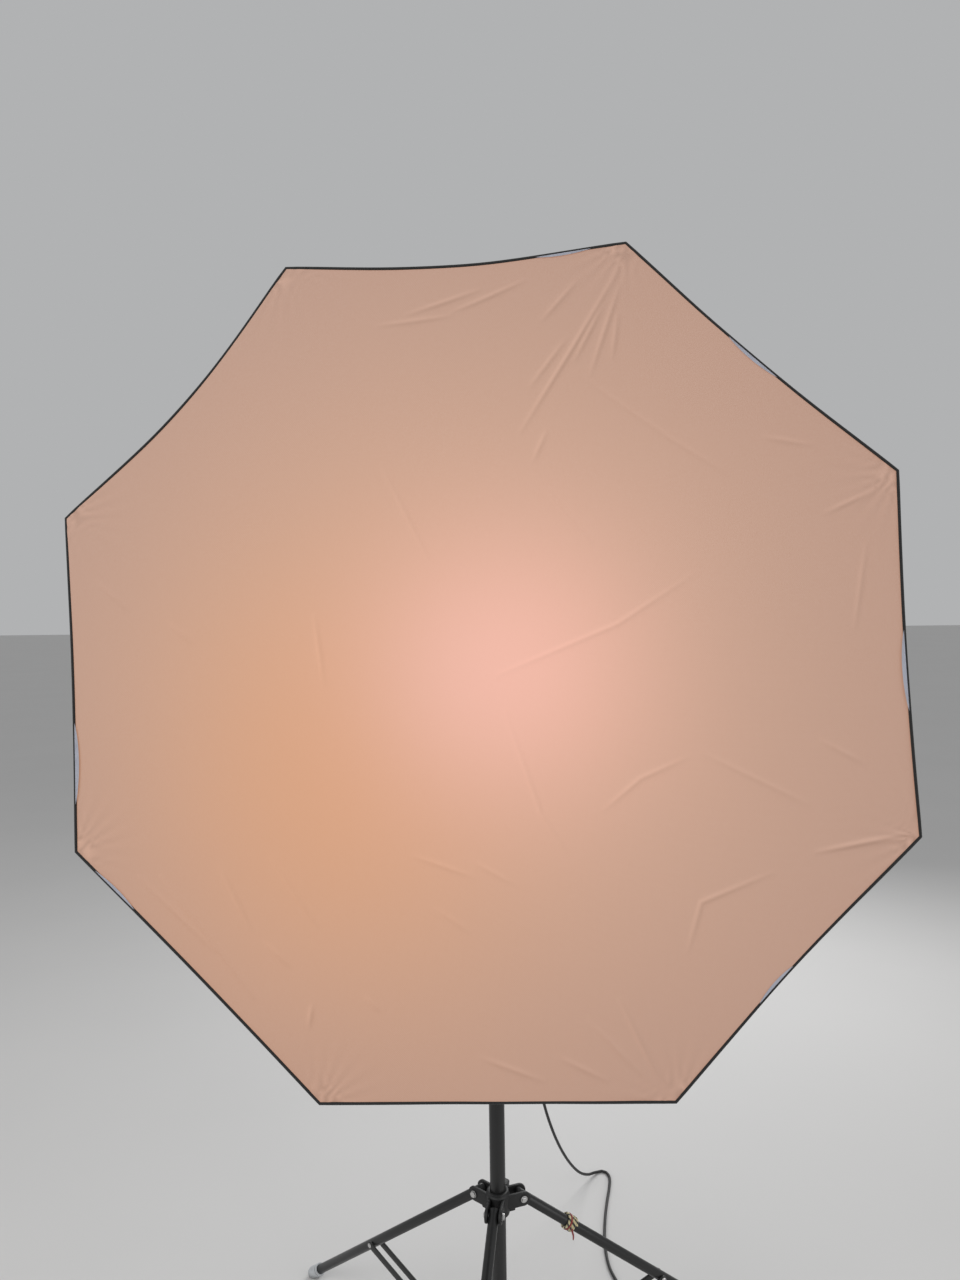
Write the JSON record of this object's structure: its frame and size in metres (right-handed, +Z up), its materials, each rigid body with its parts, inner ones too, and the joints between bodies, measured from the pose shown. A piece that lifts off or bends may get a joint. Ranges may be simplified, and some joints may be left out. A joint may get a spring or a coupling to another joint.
{
  "type": "studio softbox",
  "caption": "Eight-sided studio softbox with a white front diffuser, on a warm lamp head with a tilt bracket, standing on a three-section folding light stand.",
  "frame": {"origin": "on the floor under the middle of the object's box, mains lead left out; the column stands 0.108 m behind it", "axes": "+Z up along the column; -Y the way the softbox faces; +X to the right seen from in front"},
  "size_m": [1.124, 1.2577, 1.9549],
  "materials": {
    "black_paint": "satin black powder coat",
    "black_plastic": "fine-textured black moulding",
    "bright_steel": "bright plated",
    "grey_alloy": "turned and anodised",
    "foot_rubber": "pale grey moulded rubber",
    "black_fabric": "black coated nylon outside, silver inside",
    "white_fabric": "translucent white diffusion cloth, lit warm from behind",
    "bulb_glass": "frosted",
    "white_ceramic": "glazed ceramic",
    "lead_rubber": "black mains flex and mouldings",
    "tie_cord": "cream cord with dark stripes"
  },
  "bodies": {
    "root": {"lower_tube": "black_paint", "tube_end_plug": "black_plastic", "lower_collar": "black_plastic", "lower_clamp": "black_plastic", "mains_lead": "lead_rubber", "lead_coil": "lead_rubber", "mains_plug": "lead_rubber"},
    "hub": {"leg_hub": "black_plastic", "leg_bolt_front": "bright_steel", "leg_bolt_left": "bright_steel", "leg_bolt_right": "bright_steel"},
    "hub_knob": {"hub_knob": "black_plastic"},
    "leg_front": {"leg_front": "black_paint", "foot_front": "foot_rubber", "brace_rivet_front": "bright_steel"},
    "leg_left": {"leg_left": "black_paint", "foot_left": "foot_rubber", "brace_rivet_left": "bright_steel"},
    "leg_right": {"leg_right": "black_paint", "foot_right": "foot_rubber", "brace_rivet_right": "bright_steel", "leg_tie": "tie_cord"},
    "brace_front": {"brace_front_a": "black_paint", "brace_front_b": "black_paint"},
    "brace_left": {"brace_left_a": "black_paint", "brace_left_b": "black_paint"},
    "brace_right": {"brace_right_a": "black_paint", "brace_right_b": "black_paint"},
    "lower_clamp_knob": {"lower_clamp_knob": "black_plastic"},
    "middle": {"middle_tube": "black_paint", "upper_clamp": "black_plastic"},
    "upper_clamp_knob": {"upper_clamp_knob": "black_plastic"},
    "upper": {"upper_tube": "black_paint", "stud": "bright_steel"},
    "swivel": {"bracket_socket": "black_plastic"},
    "socket_knob": {"socket_knob": "black_plastic"},
    "lamp": {"tilt_bracket": "black_plastic", "lamp_housing": "black_paint", "mount_ring": "grey_alloy", "lamp_socket": "white_ceramic", "bulb": "bulb_glass", "rear_cover": "black_plastic", "strain_relief": "lead_rubber"},
    "tilt_handle": {"tilt_handle": "black_plastic"},
    "power_switch": {"power_switch": "black_plastic"},
    "dimmer_knob": {"dimmer_knob": "black_plastic"},
    "release_button": {"release_button": "black_plastic"},
    "softbox": {"speedring": "grey_alloy", "rod_1": "bright_steel", "rod_2": "bright_steel", "rod_3": "bright_steel", "rod_4": "bright_steel", "rod_5": "bright_steel", "rod_6": "bright_steel", "rod_7": "bright_steel", "rod_8": "bright_steel", "shell": "black_fabric", "rim_binding": "black_fabric", "front_diffuser": "white_fabric", "inner_baffle": "white_fabric"}
  },
  "joints": [
    {"name": "hub_slide", "type": "slide", "parent": "root", "child": "hub", "axis": [0, 0, 1], "range_m": [0, 0.33275]},
    {"name": "leg_front_fold", "type": "hinge", "parent": "hub", "child": "leg_front", "pos_m": [-0.00455, 0.06302, 0.39401], "axis": [0.9949, -0.1011, 0], "range_deg": [0, 48.9]},
    {"name": "brace_front_fold", "type": "hinge", "parent": "leg_front", "child": "brace_front", "pos_m": [-0.03361, -0.22311, 0.16443], "axis": [-0.9949, 0.1011, 0], "range_deg": [0, 114.23]},
    {"name": "leg_left_fold", "type": "hinge", "parent": "hub", "child": "leg_left", "pos_m": [-0.0365, 0.13411, 0.39401], "axis": [-0.585, -0.8111, 0], "range_deg": [0, 48.9]},
    {"name": "brace_left_fold", "type": "hinge", "parent": "leg_left", "child": "brace_left", "pos_m": [-0.26976, 0.30234, 0.16443], "axis": [0.585, 0.8111, 0], "range_deg": [0, 114.23]},
    {"name": "leg_right_fold", "type": "hinge", "parent": "hub", "child": "leg_right", "pos_m": [0.04104, 0.12623, 0.39401], "axis": [-0.4099, 0.9121, 0], "range_deg": [0, 48.9]},
    {"name": "brace_right_fold", "type": "hinge", "parent": "leg_right", "child": "brace_right", "pos_m": [0.30337, 0.24413, 0.16443], "axis": [0.4099, -0.9121, 0], "range_deg": [0, 114.23]},
    {"name": "hub_knob_turn", "type": "hinge", "parent": "hub", "child": "hub_knob", "pos_m": [0.00303, 0.13763, 0.39401], "axis": [0.1011, 0.9949, 0], "range_deg": [0, 360]},
    {"name": "lower_clamp_knob_turn", "type": "hinge", "parent": "root", "child": "lower_clamp_knob", "pos_m": [0.00303, 0.13763, 0.82476], "axis": [0.1011, 0.9949, 0], "range_deg": [0, 360]},
    {"name": "middle_slide", "type": "slide", "parent": "root", "child": "middle", "axis": [0, 0, 1], "range_m": [-0.2, 0.36]},
    {"name": "upper_clamp_knob_turn", "type": "hinge", "parent": "middle", "child": "upper_clamp_knob", "pos_m": [0.00303, 0.13763, 1.085], "axis": [0.1011, 0.9949, 0], "range_deg": [0, 360]},
    {"name": "upper_slide", "type": "slide", "parent": "middle", "child": "upper", "axis": [0, 0, 1], "range_m": [-0.09, 0.45]},
    {"name": "head_swivel", "type": "hinge", "parent": "upper", "child": "swivel", "pos_m": [0, 0.10779, 1.2462], "axis": [0, 0, 1], "continuous": true},
    {"name": "socket_knob_turn", "type": "hinge", "parent": "swivel", "child": "socket_knob", "pos_m": [-0.03, 0.10779, 1.2291], "axis": [-1, 0, 0], "range_deg": [0, 360]},
    {"name": "head_tilt", "type": "hinge", "parent": "swivel", "child": "lamp", "pos_m": [0, 0.10779, 1.266], "axis": [1, 0, 0], "range_deg": [-54, 25], "deforming": ["mains_lead"]},
    {"name": "tilt_handle_turn", "type": "hinge", "parent": "lamp", "child": "tilt_handle", "pos_m": [0, 0.10779, 1.266], "axis": [1, 0, 0], "range_deg": [0, 360]},
    {"name": "softbox_turn", "type": "hinge", "parent": "lamp", "child": "softbox", "pos_m": [0, 0.03711, 1.3589], "axis": [0, -0.9945, 0.1045], "continuous": true},
    {"name": "power_switch_rock", "type": "hinge", "parent": "lamp", "child": "power_switch", "pos_m": [-0.022, 0.32972, 1.33216], "axis": [1, 0, 0], "range_deg": [-16, 0]},
    {"name": "dimmer_turn", "type": "hinge", "parent": "lamp", "child": "dimmer_knob", "pos_m": [0.022, 0.33121, 1.33201], "axis": [0, 0.9945, -0.1045], "range_deg": [0, 270]},
    {"name": "release_press", "type": "slide", "parent": "lamp", "child": "release_button", "axis": [-1, 0, 0], "range_m": [0, 0.005], "stiffness_N_per_m": 300}
  ],
  "couplings": [
    {"joint": "leg_front_fold", "follows": "hub_slide", "rad_per_m": 2.5649},
    {"joint": "brace_front_fold", "follows": "hub_slide", "rad_per_m": 5.9916},
    {"joint": "leg_left_fold", "follows": "hub_slide", "rad_per_m": 2.5649},
    {"joint": "brace_left_fold", "follows": "hub_slide", "rad_per_m": 5.9916},
    {"joint": "leg_right_fold", "follows": "hub_slide", "rad_per_m": 2.5649},
    {"joint": "brace_right_fold", "follows": "hub_slide", "rad_per_m": 5.9916}
  ]
}
